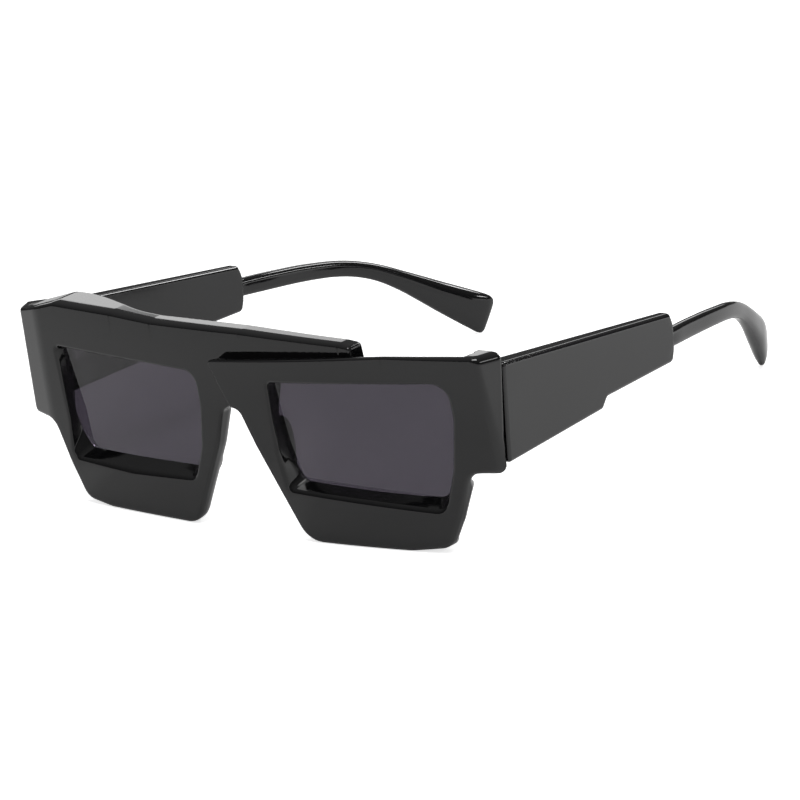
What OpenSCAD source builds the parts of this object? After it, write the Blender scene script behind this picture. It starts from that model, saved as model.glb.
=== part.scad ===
// Sunglasses with an overlapped two-level front and stepped folding temples
// The front faces -Y, the temples run back along +Y, and the rims and the temple tips stand at z = 0

/* [Front] */
// Height that all the outline shares refer to
front_h = 50; // [45:0.5:56]
// Half the width over the end pieces at the seams
half_w = 70.7; // [64:0.1:76]
// Radius of the raised right half's front face
raised_r = 255; // [150:5:600]
// Radius of the base left half's front face
base_r = 500; // [300:10:900]
// Lean of the raised half's front face
raised_lean = 6.3; // [0:0.1:12]
// Lean of the base half's front face
base_lean = 2.5; // [0:0.1:12]
// Depth of the raised half's foremost line at the lean level
raised_y = -9.05; // [-12:0.05:-7]
// Depth of the base half's foremost line at the lean level
base_y = -5.55; // [-7:0.05:-3]
// Sideways place of the base half's foremost line
base_x = -2; // [-6:0.5:6]
// Level at which the two depths hold, as a share of front_h
lean_share = 0.88; // [0.6:0.01:1]
// Thickness of the base half at that level
base_t = 4.8; // [3.5:0.1:6]
// Thickness of the raised half at that level
raised_t = 5.2; // [3.5:0.1:6.5]
// Draft of the raised half's outer rear edge below its end piece
bevel_turn = 30; // [0:1:45]
// Depth behind the front face where that draft starts
bevel_in = 1.9; // [1:0.1:3]
// Extra lean of the rear faces, which thickens the lower rims
rear_lean = 1.4; // [0:0.1:3]
// Width of the left end facet
facet_w = 9.7; // [5:0.1:14]
// Sweep of the left end facet
facet_turn = 21; // [10:0.5:30]
// Slope of the raised half's top behind its crest
crest_fall = 24; // [10:1:45]
// Turn of the crest in plan
crest_turn = 11.3; // [5:0.1:20]
// Rise of the crest along the front
crest_rise = 2.4; // [0:0.1:6]
// Sideways place where the crest starts, as a share of half_w
crest_share = 0.515; // [0.4:0.005:0.6]
// Level of the crest there, as a share of front_h
crest_rise_share = 0.93; // [0.85:0.01:1]
// Length of the crest as a share of half_w
crest_long_share = 0.399; // [0.3:0.001:0.45]
// Depth of the crest before its top falls away
crest_t = 1.7; // [0.8:0.1:4]

/* [Lenses] */
// Depth of a lens behind the front face near its top
lens_in = 1.8; // [1:0.1:3]
// Level of that depth as a share of front_h
lens_level_share = 0.8; // [0.7:0.01:0.9]
// Extra lean of a lens against its front face
lens_lean = 3.45; // [0:0.05:6]
// Thickness of a lens
lens_t = 1.4; // [1.2:0.1:2.2]
// Width of the groove that holds a lens
groove = 0.8; // [0.5:0.1:1.2]
// Free gap round a lens in its groove
lens_gap = 0.05; // [0.02:0.01:0.1]

/* [End pieces and seams] */
// Depth of the seam at the middle of the hinge
seam_y = 5.1; // [4:0.1:7]
// Level of the middle of the hinge as a share of front_h
seam_share = 0.68; // [0.6:0.01:0.74]
// Lean of the seam
seam_lean = 4; // [0:0.5:8]
// Lower edge of the end pieces as a share of front_h
end_share = 0.398; // [0.36:0.002:0.44]
// Sideways place where the rear starts to swell towards the end piece, as a share of half_w
swell_in_share = 0.354; // [0.3:0.002:0.5]
// Sideways place where the swell meets the seam, as a share of half_w
swell_out_share = 0.7355; // [0.65:0.0005:0.8]
// Depth of the swell
swell_d = 6.6; // [4:0.1:8]
// Sweep of the end pieces' side faces
side_turn = 23.2; // [0:0.1:40]
// Radius of the end pieces' lower corners
end_r = 3.2; // [1:0.1:5]

/* [Temples] */
// Thickness of a blade at the seam
blade_t = 4.6; // [3.5:0.1:6]
// Thickness of a blade at its rear end
blade_end_t = 3.3; // [2.5:0.1:5]
// Sweep of a blade's outer face
blade_turn = 2.89; // [0:0.01:6]
// Gap between a temple and its end piece
seam_gap = 0.25; // [0.1:0.05:0.6]
// Length of the slim arm from the blade to the tip
arm_l = 71.4; // [60:0.1:85]
// Distance of the arm's middle line inside the blade's outer face where it starts
arm_in = 1.32; // [0.8:0.01:2]
// Depth of the arm's start as a share of front_h
arm_start_share = 1.44; // [1.3:0.01:1.5]
// Level of the arm's start as a share of front_h
arm_level_share = 0.6; // [0.54:0.01:0.68]

/* [Hinges] */
// Distance of the hinge pins inside the end pieces' sides
pin_in = 6.4; // [5.5:0.1:8]
// Distance of the pins behind the seams
pin_back = 1.6; // [1.4:0.05:2.5]
// Outer radius of a knuckle
knuckle_r = 1.4; // [1.2:0.05:2]
// Height of a knuckle
knuckle_h = 1.55; // [1.2:0.05:2]
// Free height between two knuckles
knuckle_gap = 0.1; // [0.05:0.01:0.2]
// Radius of a hinge screw's shank
screw_r = 0.65; // [0.5:0.05:0.8]
// Radial play of the shank in the knuckles
play = 0.05; // [0.02:0.01:0.1]
// Radius of a screw's head
head_r = 1.2; // [1:0.05:1.6]
// Height of a screw's head
head_h = 0.7; // [0.5:0.05:1]
// Width of the slot in a screw's head
slot_w = 0.35; // [0.25:0.05:0.5]
// Depth of the slot in a screw's head
slot_d = 0.35; // [0.2:0.05:0.5]
// Thickness of a hinge leaf
leaf_t = 0.9; // [0.7:0.1:1.2]
// Height of a hinge leaf
leaf_h = 9; // [7:0.5:12]
// Length of a temple leaf
leaf_l = 13; // [9:0.5:16]
// Inner side of a front leaf, inwards from its pin
leaf_in = 2.9; // [2:0.1:4]
// Outer side of a front leaf, outwards from its pin
leaf_out = 1.3; // [0.8:0.1:1.6]
// Sideways offset of a temple leaf from its pin
leaf_off = 1.55; // [1.5:0.05:2]
// Thickness of the web that carries a knuckle
web_t = 1.3; // [1:0.1:1.8]
// Radius of the studs that hold a leaf
stud_r = 0.6; // [0.4:0.05:0.8]
// Length of the studs behind a leaf
stud_l = 1.9; // [1:0.1:2.5]
// Height of the studs above and below the middle of a leaf
stud_z = 2.9; // [2:0.1:3.6]
// Free gap of a leaf in its pocket
seat_gap = 0.03; // [0.01:0.01:0.05]

/* [Nose pads] */
// Depth of the nose pads' rear ends
pad_y = 1.6; // [0:0.1:4]
// Depth inside the rims where the pads start
pad_root = -2.6; // [-4:0.1:0]
// Length of the pads' flare
pad_flare = 1.4; // [0:0.1:3]

/* [Node] */
// Piece to show

/* [Hidden] */
// Depth that the origin lies behind the middle of the front
centre_y = 68.5;
// Longer than any cut needs
far = 160;
// Depth of the boxes that trim the front
trim = 30;
eps = 0.01;
fine = 160;
arc_steps = 6;
// Points round an arm's section, and the exponent that squares it
arm_points = 20;
arm_squareness = 0.7;
// Share of the sideways corner shares that reaches half_w
half_w_share = 1.414;
across = half_w / half_w_share;
lean_z = lean_share * front_h;
lens_z = lens_level_share * front_h;
facet_x = facet_w - half_w;
crest_x = crest_share * half_w;
crest_z = crest_rise_share * front_h;
crest_l = crest_long_share * half_w;
seam_z = seam_share * front_h;
end_z = end_share * front_h;
swell_in = swell_in_share * half_w;
swell_out = swell_out_share * half_w;
arm_y = arm_start_share * front_h;
arm_z = arm_level_share * front_h;
arm_x = half_w - (arm_y - seam_y) * tan(blade_turn) - arm_in;
pin_x = half_w - pin_in;
pitch = knuckle_h + knuckle_gap;
// Shares of its depth that a funnel runs on past the front face and past the lens
funnel_front_share = 1.4;
funnel_rear_share = 0.35;

// Outline corners as shares: sideways of across, upwards and corner radius of front_h
left_shares = [
    [-1.44, 0.898, 0], [-1.085, 1.005, 0.14], [-0.70, 1.003, 0.2], [-0.44, 0.988, 0.2],
    [0.10, 0.991, 0.2], [0.66, 0.976, 0.1], [0.722, 0.966, 0.026], [0.730, 0.86, 0.02],
    [0.30, 0.84, 0.06], [0.19, 0.68, 0.05], [0.03, 0.644, 0.06], [-0.066, 0.59, 0.05],
    [-0.126, 0.412, 0.3], [-0.326, 0, 0.11], [-0.90, 0, 0.3], [-1.062, 0.024, 0.08],
    [-1.142, 0.198, 0.4], [-1.214, 0.397, 0.07], [-1.44, 0.399, 0]];
right_shares = [
    [-0.056, 0.858, 0.012], [0.60, 0.920, 0.5], [0.91, 0.946, 0.3], [1.44, 0.956, 0],
    [1.44, 0.401, 0], [1.236, 0.398, 0.07], [1.150, 0.172, 0.4], [1.078, 0.026, 0.08],
    [0.88, 0, 0.3], [0.334, 0, 0.12], [0.140, 0.456, 0.5], [0.104, 0.556, 0.14],
    [0.086, 0.620, 0.05], [0.033, 0.637, 0.01]];
left_rim_shares = [
    [-1.122, 0.784, 0.024], [-0.532, 0.774, 0], [-0.206, 0.764, 0.07], [-0.200, 0.60, 0.2],
    [-0.232, 0.392, 0.2], [-0.300, 0.226, 0.06], [-0.70, 0.208, 0], [-1.058, 0.212, 0.024],
    [-1.104, 0.252, 0.024], [-1.088, 0.42, 0.2]];
left_lens_shares = [
    [-1.098, 0.778, 0.024], [-0.532, 0.768, 0], [-0.210, 0.758, 0.07], [-0.204, 0.60, 0.2],
    [-0.237, 0.400, 0.2], [-0.310, 0.272, 0.06], [-0.70, 0.265, 0], [-1.012, 0.270, 0.034],
    [-1.076, 0.350, 0.05], [-1.100, 0.44, 0.1]];
right_rim_shares = [
    [0.266, 0.780, 0.03], [0.736, 0.808, 0], [1.208, 0.830, 0.10], [1.212, 0.66, 0.24],
    [1.164, 0.408, 0.2], [1.092, 0.200, 0.064], [0.72, 0.228, 0], [0.260, 0.260, 0.052],
    [0.254, 0.44, 0.1], [0.258, 0.60, 0]];
right_lens_shares = [
    [0.270, 0.774, 0.03], [0.736, 0.802, 0], [1.184, 0.823, 0.09], [1.186, 0.66, 0.24],
    [1.140, 0.416, 0.2], [1.072, 0.252, 0.06], [0.72, 0.262, 0], [0.328, 0.292, 0.032],
    [0.278, 0.428, 0.08], [0.262, 0.60, 0]];
left_pad_shares = [
    [-0.200, 0.575, 0.03], [-0.112, 0.560, 0.03], [-0.170, 0.345, 0.2], [-0.240, 0.230, 0.03],
    [-0.290, 0.28, 0.03], [-0.228, 0.40, 0.1]];
right_pad_shares = [
    [0.122, 0.560, 0.03], [0.246, 0.575, 0.03], [0.262, 0.44, 0.1], [0.300, 0.31, 0.03],
    [0.258, 0.225, 0.03], [0.190, 0.345, 0.2]];
// Sideways places that part the nose side of each pad from its lens side, as shares of across
left_pad_share = -0.19;
right_pad_share = 0.23;
// Blade corners as shares of front_h: backwards, upwards, corner radius
blade_shares = [
    [0.04, 0.913, 0], [1.484, 0.718, 0.026], [1.508, 0.66, 0.01], [1.500, 0.55, 0.01],
    [1.482, 0.482, 0.03], [0.905, 0.497, 0.04], [0.826, 0.447, 0.04], [0.04, 0.444, 0]];
// Stations along an arm as shares of arm_l: backwards, inwards, downwards, half height, half thickness,
// and the forward lean of the section
arm_shares = [
    [-0.03, -0.001, -0.001, 0.0322, 0.018, 0], [0.056, 0.0042, 0.0042, 0.0322, 0.019, 0],
    [0.140, 0.0182, 0.0108, 0.0325, 0.019, 0], [0.224, 0.0322, 0.0185, 0.0318, 0.019, 0],
    [0.308, 0.0462, 0.0270, 0.0312, 0.019, 0], [0.392, 0.0630, 0.0380, 0.0300, 0.019, 0],
    [0.476, 0.0840, 0.0520, 0.0292, 0.019, 0], [0.560, 0.1110, 0.0745, 0.0288, 0.020, 0],
    [0.644, 0.1430, 0.1100, 0.0305, 0.022, 0], [0.728, 0.1770, 0.1605, 0.0362, 0.026, 0],
    [0.800, 0.2100, 0.2100, 0.0455, 0.030, 0], [0.860, 0.2390, 0.2530, 0.0540, 0.033, 0],
    [0.910, 0.2675, 0.2888, 0.0612, 0.032, 0.01], [0.950, 0.2915, 0.3178, 0.0668, 0.029, 0.04],
    [0.978, 0.3085, 0.3380, 0.0700, 0.024, 0.08], [0.9965, 0.3195, 0.3533, 0.0702, 0.019, 0.11],
    [1.008, 0.3255, 0.3626, 0.0650, 0.013, 0.13], [1.014, 0.3280, 0.3670, 0.0530, 0.006, 0.13]];

function unit(v) = v / norm(v);

// Arc of radius r that rounds the corner at q between p and s
function fillet(p, q, s, r) =
    let (a = unit(p - q), b = unit(s - q), half = acos(a * b) / 2,
         hub = q + unit(a + b) * r / sin(half),
         u = q + a * r / tan(half) - hub, v = q + b * r / tan(half) - hub,
         begin = atan2(u[1], u[0]), turn = atan2(u[0] * v[1] - u[1] * v[0], u * v))
    [for (i = [0:arc_steps]) hub + r * [cos(begin + turn * i / arc_steps), sin(begin + turn * i / arc_steps)]];

// Outline in lengths from a table of corner shares, with its sideways shares taken of wide
function outline(shares, wide = across) =
    let (n = len(shares), at = [for (s = shares) [s[0] * wide, s[1] * front_h]])
    [for (i = [0:n - 1]) each shares[i][2] == 0 ? [at[i]]
        : fillet(at[(i + n - 1) % n], at[i], at[(i + 1) % n], shares[i][2] * front_h)];

// Ring of outline points placed at one depth for each point
function ring(points, y) = [for (p = points) [p[0], y, p[1]]];

// Closed solid through rings of equally many points, each clockwise as seen from the first ring's side
module skin(rings) {
    n = len(rings[0]);
    polyhedron([for (r = rings) each r], concat(
        [[for (i = [0:n - 1]) i]],
        [for (k = [0:len(rings) - 2], i = [0:n - 1]) each
            [[k * n + i, (k + 1) * n + i, k * n + (i + 1) % n],
             [k * n + (i + 1) % n, (k + 1) * n + i, (k + 1) * n + (i + 1) % n]]],
        [[for (i = [0:n - 1]) len(rings) * n - 1 - i]]));
}

// Outline drawn in the XZ plane and extruded from y0 to y1
module slab(points, y0, y1) translate([0, y1, 0]) rotate([90, 0, 0]) linear_extrude(y1 - y0) polygon(points);

// Solid behind a bulged face whose foremost line passes x, y, z and leans
module behind(r, x, y, z, lean)
    translate([x, y, z]) rotate([lean, 0, 0]) translate([0, r, 0])
        cylinder(r = r, h = far, center = true, $fn = 2 * fine);

module behind_raised(deep = 0) behind(raised_r, 0, raised_y + deep, lean_z, raised_lean);
module behind_base(deep = 0) behind(base_r, base_x, base_y + deep, lean_z, base_lean);
module raised_rear() behind(raised_r, 0, raised_y + raised_t, lean_z, raised_lean + rear_lean);
module base_rear() behind(base_r, base_x, base_y + base_t, lean_z, base_lean + rear_lean);

// Depth of the raised and of the base front face on their foremost lines at the lens level
raised_lens_y = raised_y + (lean_z - lens_z) * tan(raised_lean) + lens_in;
base_lens_y = base_y + (lean_z - lens_z) * tan(base_lean) + lens_in;

// Depth of a lens face at a point of the outline
function lens_depth(r, x0, y0, lean, p) = y0 + r - sqrt(r * r - pow(p[0] - x0, 2)) + (lens_z - p[1]) * tan(lean);

// Layer of thickness t that follows the lens face, from d behind it
module lens_layer(r, x0, y0, lean, points, d, t) difference() {
    intersection() {
        slab(points, -trim, trim);
        behind(r, x0, y0 + d, lens_z, lean + lens_lean);
    }
    behind(r, x0, y0 + d + t, lens_z, lean + lens_lean);
}

// Outline grown or shrunk by d along its normals
function grown(points, d) =
    let (n = len(points))
    [for (i = [0:n - 1]) let (along = unit(points[(i + 1) % n] - points[(i + n - 1) % n]))
        points[i] + d * [-along[1], along[0]]];

// Wall that narrows from an opening's edge on the front face to the lens, run on a little both ways
module funnel(rim, seat, r, x0, y0, lean) {
    front = outline(rim);
    back = outline(seat);
    skin([for (t = [-funnel_front_share, 1 + funnel_rear_share])
        [for (i = [0:len(front) - 1])
            let (p = front[i] + (back[i] - front[i]) * t,
                 y = lens_depth(r, x0, y0 - lens_in, lean, front[i]) * (1 - t)
                     + lens_depth(r, x0, y0, lean + lens_lean, back[i]) * t)
            [p[0], y, p[1]]]]);
}

// Opening behind a lens
module rear_opening(seat, r, x0, y0, lean) intersection() {
    slab(outline(seat), -trim, trim);
    behind(r, x0, y0 + lens_t / 2, lens_z, lean + lens_lean);
}

// Groove that holds a lens
module lens_groove(seat, r, x0, y0, lean)
    lens_layer(r, x0, y0, lean, grown(outline(seat), groove + lens_gap), -lens_gap, lens_t + 2 * lens_gap);

// Frame of a right hinge, with its pin upright
module at_hinge() translate([pin_x, seam_y, seam_z]) children();

// The same frame leaning with the seam, which is its XZ plane
module at_seam() at_hinge() rotate([-seam_lean, 0, 0]) children();

// Swell behind the brow and the end piece, drawn from above in the frame of the seam
module swell() translate([0, seam_y, seam_z]) rotate([-seam_lean, 0, 0])
    translate([0, 0, -far / 2]) linear_extrude(far) polygon(concat(
        [for (i = [0:2 * arc_steps]) let (t = i / (2 * arc_steps))
            [swell_in + (swell_out - swell_in) * t, -swell_d * (1 - t * t * (3 - 2 * t))]],
        [[half_w + trim, 0], [half_w + trim, -trim], [swell_in, -trim]]));

// Space outside the side face of a right end piece
module beside() translate([half_w, seam_y, 0]) rotate([0, 0, -side_turn]) translate([0, -trim, -trim])
    cube([trim, 2 * trim, far]);

// Space below and outside the rounded lower corner of a right end piece
module below_corner() translate([half_w - end_r, 0, end_z + end_r]) rotate([90, 0, 0]) difference() {
    translate([0, -end_r - trim, -trim]) cube([end_r + trim, end_r + trim, 2 * trim]);
    cylinder(r = end_r, h = 3 * trim, center = true, $fn = fine);
}

// Space above the sloping top behind the raised half's crest
module above_crest()
    translate([crest_x, raised_y + raised_r - sqrt(raised_r * raised_r - crest_x * crest_x)
               - (crest_z - lean_z) * tan(raised_lean) + crest_t, crest_z])
    rotate([0, 0, crest_turn]) rotate([0, -crest_rise, 0]) rotate([-crest_fall, 0, 0])
        cube([crest_l, trim, trim]);

// Space in front of the facet at the base half's end
module before_facet()
    translate([facet_x, base_y + base_r - sqrt(base_r * base_r - pow(facet_x - base_x, 2)), lean_z])
    rotate([base_lean, 0, 0]) rotate([0, 0, -facet_turn]) translate([-trim, -trim, -far / 2])
        cube([trim, trim, far]);

// What lies behind the front's rear face, except the swell above the end pieces' lower edge
module behind_swell() difference() {
    children();
    intersection() {
        swell();
        translate([0, -trim, end_z]) cube([far, 2 * trim, far]);
    }
}

// Space outside the drafted rear edge of the raised half's rim, between two corners of its outline
module beside_rim(p, q) {
    from = [p[0] * across, p[1] * front_h];
    along = [q[0] * across, q[1] * front_h] - from;
    translate([from[0], raised_y + raised_r - sqrt(raised_r * raised_r - from[0] * from[0])
               - (from[1] - lean_z) * tan(raised_lean) + bevel_in, from[1]])
    rotate([0, atan2(-along[0], -along[1]), 0]) rotate([0, 0, bevel_turn]) translate([0, -trim, -trim])
        cube([trim, 2 * trim, trim]);
}

module raised_half() difference() {
    intersection() {
        slab(outline(right_shares), -trim, trim);
        behind_raised();
    }
    behind_swell() raised_rear();
    above_crest();
    beside_rim(right_shares[5], right_shares[7]);
    beside();
    below_corner();
}

module base_half() difference() {
    intersection() {
        slab(outline(left_shares), -trim, trim);
        behind_base();
    }
    mirror([1, 0, 0]) behind_swell() mirror([1, 0, 0]) base_rear();
    before_facet();
    mirror([1, 0, 0]) beside();
    mirror([1, 0, 0]) below_corner();
}

// Moulded nose pad that flares from the rim towards its rear end
module pad(shares, side, split) {
    root = outline(shares);
    skin([ring(root, pad_root), ring([for (p = root)
        side * p[0] < side * split * across ? [p[0] + side * pad_flare, p[1]] : p], pad_y)]);
}

// Pocket for a front leaf and its studs
module front_pocket() at_hinge() {
    translate([-leaf_in - seat_gap, -leaf_t, -leaf_h / 2 - seat_gap])
        cube([leaf_in + leaf_out + 2 * seat_gap, trim, leaf_h + 2 * seat_gap]);
    front_studs(stud_r + seat_gap, stud_l + 2 * seat_gap);
}

module front_studs(r, l) for (z = [-stud_z, stud_z])
    translate([-leaf_in / 2, -leaf_t + eps, z]) rotate([90, 0, 0]) cylinder(r = r, h = l + eps, $fn = fine);

// Pocket for a temple leaf and its studs
module temple_pocket() at_hinge() {
    translate([leaf_off + leaf_t - trim, -trim, -leaf_h / 2 - seat_gap])
        cube([trim, trim + pin_back - web_t / 2 + leaf_l + seat_gap, leaf_h + 2 * seat_gap]);
    temple_studs(stud_r + seat_gap, stud_l + 2 * seat_gap);
}

module temple_studs(r, l) for (y = [leaf_l / 3, 5 * leaf_l / 6])
    translate([leaf_off + leaf_t - eps, y, 0]) rotate([0, 90, 0]) cylinder(r = r, h = l + eps, $fn = fine);

module on_left() mirror([1, 0, 0]) children();
module placed() translate([0, -centre_y, 0]) children();

module front_frame() color([0.06, 0.06, 0.065]) placed() difference() {
    union() {
        base_half();
        raised_half();
        pad(left_pad_shares, -1, left_pad_share);
        pad(right_pad_shares, 1, right_pad_share);
    }
    rear_opening(left_lens_shares, base_r, base_x, base_lens_y, base_lean);
    rear_opening(right_lens_shares, raised_r, 0, raised_lens_y, raised_lean);
    funnel(left_rim_shares, left_lens_shares, base_r, base_x, base_lens_y, base_lean);
    funnel(right_rim_shares, right_lens_shares, raised_r, 0, raised_lens_y, raised_lean);
    lens_groove(left_lens_shares, base_r, base_x, base_lens_y, base_lean);
    lens_groove(right_lens_shares, raised_r, 0, raised_lens_y, raised_lean);
    front_pocket();
    on_left() front_pocket();
    seam_cut();
    on_left() seam_cut();
}

// Space behind a right seam
module seam_cut() at_seam() translate([-2 * leaf_in, 0, -trim]) cube([trim, trim, 2 * trim]);

module lens_left() color([0.16, 0.155, 0.17]) placed()
    lens_layer(base_r, base_x, base_lens_y, base_lean, grown(outline(left_lens_shares), groove), 0, lens_t);

module lens_right() color([0.16, 0.155, 0.17]) placed()
    lens_layer(raised_r, 0, raised_lens_y, raised_lean, grown(outline(right_lens_shares), groove), 0, lens_t);

// Deep stepped blade between its side outline and its tapering plan
module blade() {
    run = arm_y + front_h / 5;
    intersection() {
        rotate([90, 0, 90]) linear_extrude(half_w + trim) polygon(outline(blade_shares, front_h));
        linear_extrude(far) polygon([
            [half_w - blade_t, 0], [half_w + seam_y * tan(blade_turn), 0],
            [half_w - (run - seam_y) * tan(blade_turn), run],
            [half_w - (run - seam_y) * tan(blade_turn) - blade_end_t, run]]);
    }
}

// Point of the arm's middle line at a station
function arm_at(s) = [arm_x - s[1] * arm_l, arm_y + s[0] * arm_l, arm_z - s[2] * arm_l];

// Slim arm swept along its middle line as rounded rings
module arm() {
    n = len(arm_shares);
    skin([for (k = [0:n - 1])
        let (s = arm_shares[k],
             t = unit(arm_at(arm_shares[min(k + 1, n - 1)]) - arm_at(arm_shares[max(k - 1, 0)])),
             u = unit(cross(t, [0, 0, 1])), up = unit(cross(u, t) - s[5] * t))
        [for (i = [0:arm_points - 1]) let (c = cos(360 * i / arm_points), d = -sin(360 * i / arm_points))
            arm_at(s) + u * sign(c) * pow(abs(c), arm_squareness) * s[4] * arm_l
                + up * sign(d) * pow(abs(d), arm_squareness) * s[3] * arm_l]]);
}

module temple() difference() {
    union() {
        blade();
        arm();
    }
    at_seam() translate([-trim, seam_gap - trim, -trim]) cube([2 * trim, trim, 2 * trim]);
    temple_pocket();
}

module temple_right() color([0.08, 0.08, 0.085]) placed() temple();
module temple_left() color([0.08, 0.08, 0.085]) placed() on_left() temple();

// Knuckles at the given places along the pin, each with the web that carries it
module knuckles(places) for (k = places) translate([0, pin_back, k * pitch - knuckle_h / 2]) {
    cylinder(r = knuckle_r, h = knuckle_h, $fn = fine);
    children();
}

module pin_bore() translate([0, pin_back, 0])
    cylinder(r = screw_r + play, h = far / 2, center = true, $fn = fine);

module hinge_front() at_hinge() difference() {
    union() {
        translate([-leaf_in, -leaf_t, -leaf_h / 2]) cube([leaf_in + leaf_out, leaf_t, leaf_h]);
        knuckles([-2, 0, 2]) translate([-web_t / 2, -pin_back - leaf_t / 2, 0])
            cube([web_t, pin_back + leaf_t / 2, knuckle_h]);
        front_studs(stud_r, stud_l);
    }
    pin_bore();
}

module hinge_temple() at_hinge() difference() {
    union() {
        translate([leaf_off, pin_back - web_t / 2, -leaf_h / 2]) cube([leaf_t, leaf_l, leaf_h]);
        knuckles([-1, 1]) translate([0, -web_t / 2, 0]) cube([leaf_off + leaf_t / 2, web_t, knuckle_h]);
        temple_studs(stud_r, stud_l);
    }
    pin_bore();
}

module screw() at_hinge() translate([0, pin_back, 0]) difference() {
    top = 2 * pitch + knuckle_h / 2;
    union() {
        translate([0, 0, -top]) cylinder(r = screw_r, h = 2 * top, $fn = fine);
        translate([0, 0, top]) cylinder(r = head_r, h = head_h, $fn = fine);
    }
    translate([-head_r - slot_d, -slot_w / 2, top + head_h - slot_d])
        cube([2 * (head_r + slot_d), slot_w, 2 * slot_d]);
}

module hinge_front_right() color([0.62, 0.62, 0.64]) placed() hinge_front();
module hinge_front_left() color([0.62, 0.62, 0.64]) placed() on_left() hinge_front();
module hinge_temple_right() color([0.62, 0.62, 0.64]) placed() hinge_temple();
module hinge_temple_left() color([0.62, 0.62, 0.64]) placed() on_left() hinge_temple();
module hinge_screw_right() color([0.7, 0.7, 0.72]) placed() screw();
module hinge_screw_left() color([0.7, 0.7, 0.72]) placed() on_left() screw();

front_frame();
lens_left();
lens_right();
temple_left();
temple_right();
hinge_front_left();
hinge_front_right();
hinge_temple_left();
hinge_temple_right();
hinge_screw_left();
hinge_screw_right();
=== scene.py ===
import math

import bmesh
import bpy
from mathutils import Matrix, Vector


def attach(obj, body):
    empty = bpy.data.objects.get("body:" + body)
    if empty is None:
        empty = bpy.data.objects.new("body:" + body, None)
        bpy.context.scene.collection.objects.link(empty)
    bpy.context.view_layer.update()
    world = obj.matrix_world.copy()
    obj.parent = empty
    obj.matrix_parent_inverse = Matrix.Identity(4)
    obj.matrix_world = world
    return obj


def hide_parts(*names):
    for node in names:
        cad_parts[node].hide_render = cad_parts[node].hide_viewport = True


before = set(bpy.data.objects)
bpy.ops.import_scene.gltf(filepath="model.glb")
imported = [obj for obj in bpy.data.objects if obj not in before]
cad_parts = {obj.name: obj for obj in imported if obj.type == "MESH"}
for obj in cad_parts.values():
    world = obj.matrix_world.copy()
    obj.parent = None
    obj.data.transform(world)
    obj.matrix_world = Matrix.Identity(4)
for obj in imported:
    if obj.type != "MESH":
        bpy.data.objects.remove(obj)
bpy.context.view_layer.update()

MM = 0.001
H = 50.0                # shares of the front's height, in millimetres
ORIGIN_Y = 68.5         # the origin lies this far behind the middle of the front
CORNER_STEPS = 7        # steps of a rounded corner
ROUND_STEPS = 5         # steps of a rounded edge

# Lengths in millimetres and turns in degrees
DEPTH_Z = 44            # height at which a level's depth is given
LENS_Z = 40             # height at which a lens lies LENS_DROP behind the front face
LENS_DROP = 1.8
LENS_LEAN = 3.45        # how much more a lens leans than the front face
REAR_LEAN = 1.4         # how much more the rear face leans than the front face
FACET_FROM, FACET_X, FACET_TURN, FACET_SOFT = 57, 61, 21, 0.42
SEAM_Y, SEAM_LEAN = 5.1, 4
SWELL, SWELL_FROM, SWELL_RUN, SWELL_SOFT = 6.6, 25, 27, 0.6
SIDE_X, SIDE_TURN = 70.7, 23.2
HINGE_Z = 34            # middle of the hinges
POCKET_HALF = 4.53      # half height of the pockets for the hinges
BLADE_TURN = 2.89       # how much a blade's outer side turns inwards
BLADE_INNER, BLADE_INNER_END, BLADE_INNER_RUN = 66.1, 63.52, 82

# Drawing of the outlines
# Corners: sideways, upwards, corner radius (shares of the height), then how far the
# front edge and the rear edge are rounded there, in millimetres.

BASE_HALF = [
    (-0.70, 1.003, 0.20, 1.1, 0.5), (-0.44, 0.988, 0.20, 1.0, 0.5), (0.10, 0.991, 0.20, 0.9, 0.5),
    (0.66, 0.976, 0.10, 0.8, 0.5), (0.722, 0.966, 0.020, 0.6, 0.4), (0.730, 0.86, 0.020, 0.4, 0.4),
    (0.30, 0.84, 0.06, 0.4, 0.4), (0.19, 0.68, 0.05, 0.4, 0.4), (0.03, 0.644, 0.06, 0.5, 0.6),
    (-0.066, 0.59, 0.05, 0.7, 2.4), (-0.126, 0.412, 0.3, 0.8, 3.0), (-0.326, 0, 0.11, 0.9, 4.0),
    (-0.90, 0, 0.3, 1.0, 2.0), (-1.062, 0.024, 0.08, 1.0, 2.0), (-1.142, 0.198, 0.4, 0.9, 1.6),
    (-1.214, 0.397, 0.07, 0.9, 1.0), ("low side", 0.399, 0.03, 1.0, 0.8),
    ("high side", 0.922, 0.022, 0.8, 0.5), (-1.085, 1.005, 0.14, 1.1, 0.5)]
RAISED_HALF = [
    (-0.056, 0.858, 0.020, 0.45, 0.3), (0.60, 0.920, 0.5, 0.6, 0.3), (0.91, 0.946, 0.3, 0.5, 0.5),
    ("high side", 0.956, 0.04, 0.9, 0.5), ("low side", 0.401, 0.05, 1.2, 0.6),
    (1.236, 0.398, 0.07, 0.9, 1.8), (1.150, 0.172, 0.4, 0.9, 2.3), (1.078, 0.026, 0.08, 1.0, 2.6),
    (0.88, 0, 0.3, 1.0, 2.0), (0.334, 0, 0.12, 0.9, 2.0), (0.140, 0.456, 0.5, 0.8, 1.6),
    (0.104, 0.556, 0.14, 0.8, 1.2), (0.086, 0.620, 0.05, 0.6, 0.6), (0.033, 0.637, 0.016, 0.45, 0.3)]
BASE_RIM = [
    (-1.122, 0.784, 0.030, 0.7), (-0.532, 0.774, 0, 0.7), (-0.206, 0.764, 0.07, 0.7),
    (-0.200, 0.60, 0.2, 0.7), (-0.232, 0.392, 0.2, 0.7), (-0.300, 0.226, 0.05, 0.9),
    (-0.70, 0.208, 0, 1.2), (-1.080, 0.222, 0.024, 1.0), (-1.104, 0.256, 0.024, 0.8),
    (-1.090, 0.42, 0.2, 0.7)]
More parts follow.
